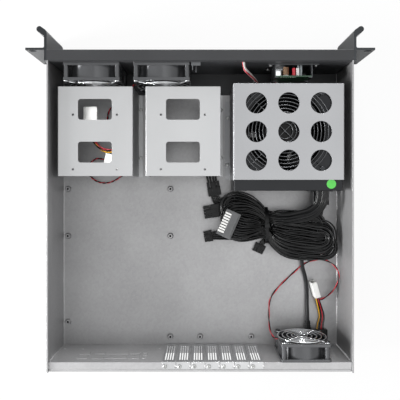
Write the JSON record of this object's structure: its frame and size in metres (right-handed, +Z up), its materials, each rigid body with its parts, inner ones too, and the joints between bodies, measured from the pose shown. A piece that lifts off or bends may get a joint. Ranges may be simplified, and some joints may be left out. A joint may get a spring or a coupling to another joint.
{
  "type": "rackmount case",
  "caption": "Open two-unit rackmount server case with drive cages, a bracketed power supply, guarded fans, vented slot covers, rack ears and tied cables.",
  "frame": {"origin": "middle of the bottom of the case's box", "axes": "+X along the front panel towards the drive cages, +Y from the front panel to the rear wall, +Z up"},
  "size_m": [0.4826, 0.4784, 0.088],
  "materials": {
    "zinc_sheet": "satin zinc sheet",
    "cover_sheet": "bright sheet",
    "black_paint": "fine matt paint",
    "ear_metal": "anodised",
    "dark_steel": "dark plated sheet",
    "black_plastic": "moulded",
    "guard_wire": "bright wire",
    "screw_steel": "plated",
    "board_green": "circuit board",
    "button_plastic": "moulded",
    "lens": "clear",
    "seal_green": "film",
    "cord_black": "matt",
    "lead_red": "matt",
    "plug_white": "moulded",
    "plug_grey": "moulded"
  },
  "bodies": {
    "case": {"bracket_screws": "screw_steel", "cable_hank": "cord_black", "chassis_tub": "zinc_sheet", "drive_cage_left": "zinc_sheet", "drive_cage_right": "zinc_sheet", "drive_plugs": "black_plastic", "ear_handle_left": "ear_metal", "ear_handle_right": "ear_metal", "fan_bolts": "screw_steel", "front_bezel": "black_paint", "front_fan_left_frame": "black_plastic", "front_fan_left_guard": "guard_wire", "front_fan_plugs": "plug_white", "front_fan_right_frame": "black_plastic", "front_fan_right_guard": "guard_wire", "front_frame": "black_paint", "front_left_lead": "lead_red", "front_panel_leads": "lead_red", "front_right_lead": "cord_black", "front_tail_lead": "lead_red", "green_seal": "seal_green", "inlet_boot": "black_plastic", "lid_tab": "zinc_sheet", "main_plug": "plug_grey", "mains_plug": "black_plastic", "panel_switches": "black_plastic", "power_cord": "cord_black", "power_inlet": "black_plastic", "processor_plug": "black_plastic", "psu_bracket": "zinc_sheet", "psu_cable_bundle": "cord_black", "psu_case": "dark_steel", "psu_cover": "dark_steel", "psu_fan_frame": "black_plastic", "psu_fan_guard": "guard_wire", "psu_socket": "black_plastic", "rear_fan_frame": "black_plastic", "rear_fan_guard": "guard_wire", "rear_fan_lead": "lead_red", "rear_fan_plugs": "plug_white", "rear_panel": "zinc_sheet", "rear_tail_lead": "lead_red", "slot_cover_1": "cover_sheet", "slot_cover_2": "cover_sheet", "slot_cover_3": "cover_sheet", "slot_cover_4": "cover_sheet", "slot_cover_5": "cover_sheet", "slot_cover_6": "cover_sheet", "slot_cover_7": "cover_sheet", "slot_screws": "screw_steel", "status_lights": "lens", "switch_board": "board_green", "switch_bracket": "zinc_sheet", "twin_socket": "zinc_sheet"},
    "front_left_rotor": {"front_fan_left_rotor": "black_plastic"},
    "front_right_rotor": {"front_fan_right_rotor": "black_plastic"},
    "rear_rotor": {"rear_fan_rotor": "black_plastic"},
    "psu_rotor": {"psu_fan_rotor": "black_plastic"},
    "power_key": {"power_button": "button_plastic"},
    "reset_key": {"reset_button": "button_plastic"}
  },
  "joints": [
    {"name": "front_left_fan_spin", "type": "hinge", "parent": "case", "child": "front_left_rotor", "pos_m": [0.1514, -0.1782, 0.0432], "axis": [0, 1, 0], "continuous": true},
    {"name": "front_right_fan_spin", "type": "hinge", "parent": "case", "child": "front_right_rotor", "pos_m": [0.0536, -0.1782, 0.0432], "axis": [0, 1, 0], "continuous": true},
    {"name": "rear_fan_spin", "type": "hinge", "parent": "case", "child": "rear_rotor", "pos_m": [-0.147, 0.213, 0.0512], "axis": [0, 1, 0], "continuous": true},
    {"name": "psu_fan_spin", "type": "hinge", "parent": "case", "child": "psu_rotor", "pos_m": [-0.1175, -0.0952, 0.07], "axis": [0, 0, 1], "continuous": true},
    {"name": "power_button_press", "type": "slide", "parent": "case", "child": "power_key", "axis": [0, 1, 0], "range_m": [0, 0.0015], "stiffness_N_per_m": 300, "springref_m": -0.001},
    {"name": "reset_button_press", "type": "slide", "parent": "case", "child": "reset_key", "axis": [0, 1, 0], "range_m": [0, 0.0015], "stiffness_N_per_m": 300, "springref_m": -0.001}
  ]
}
